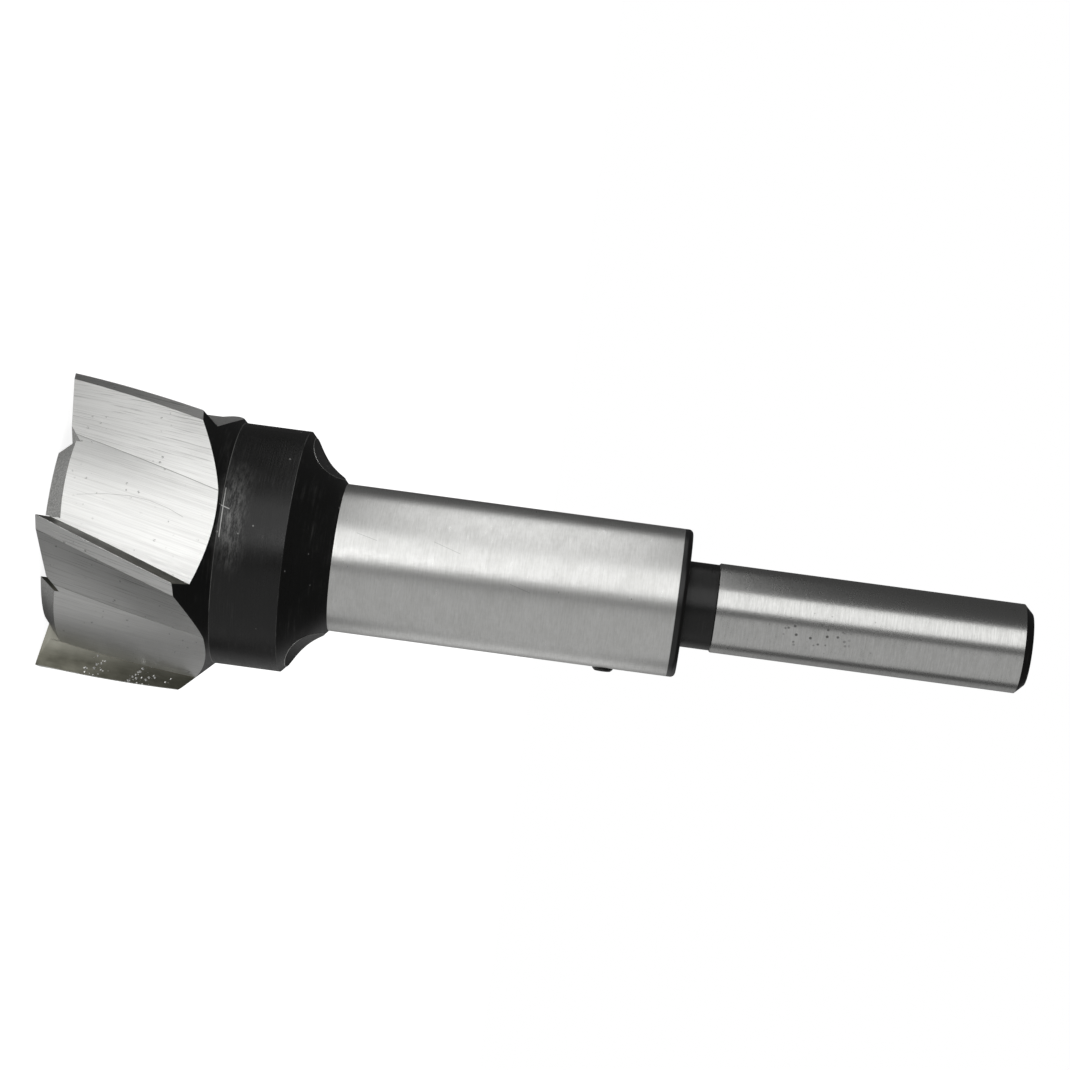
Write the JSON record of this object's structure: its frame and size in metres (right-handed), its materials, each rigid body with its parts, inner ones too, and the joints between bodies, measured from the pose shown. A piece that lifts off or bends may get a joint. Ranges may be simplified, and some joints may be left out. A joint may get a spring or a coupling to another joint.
{
  "type": "plug cutter",
  "caption": "Round plug cutter: an open cup with helical side teeth on a ground stem, with a set screw and a slimmer chuck shank.",
  "frame": {"origin": "on the tool's axis, in the plane of the tooth tips it stands on", "axes": "+Z along the tool's axis from the tooth tips to the shank; the picture looks along +Y, with the set screw towards +X"},
  "size_m": [0.0434, 0.0435, 0.1411],
  "materials": {
    "head_steel": "ground bright on the teeth and stem, black oxide on the body between them and on the stem's rear edge",
    "shank_steel": "ground bright, with a black oxide neck and end",
    "screw_steel": "black oxide"
  },
  "bodies": {
    "root": {"cutter_head": "head_steel", "shank": "shank_steel", "set_screw": "screw_steel"}
  },
  "joints": []
}
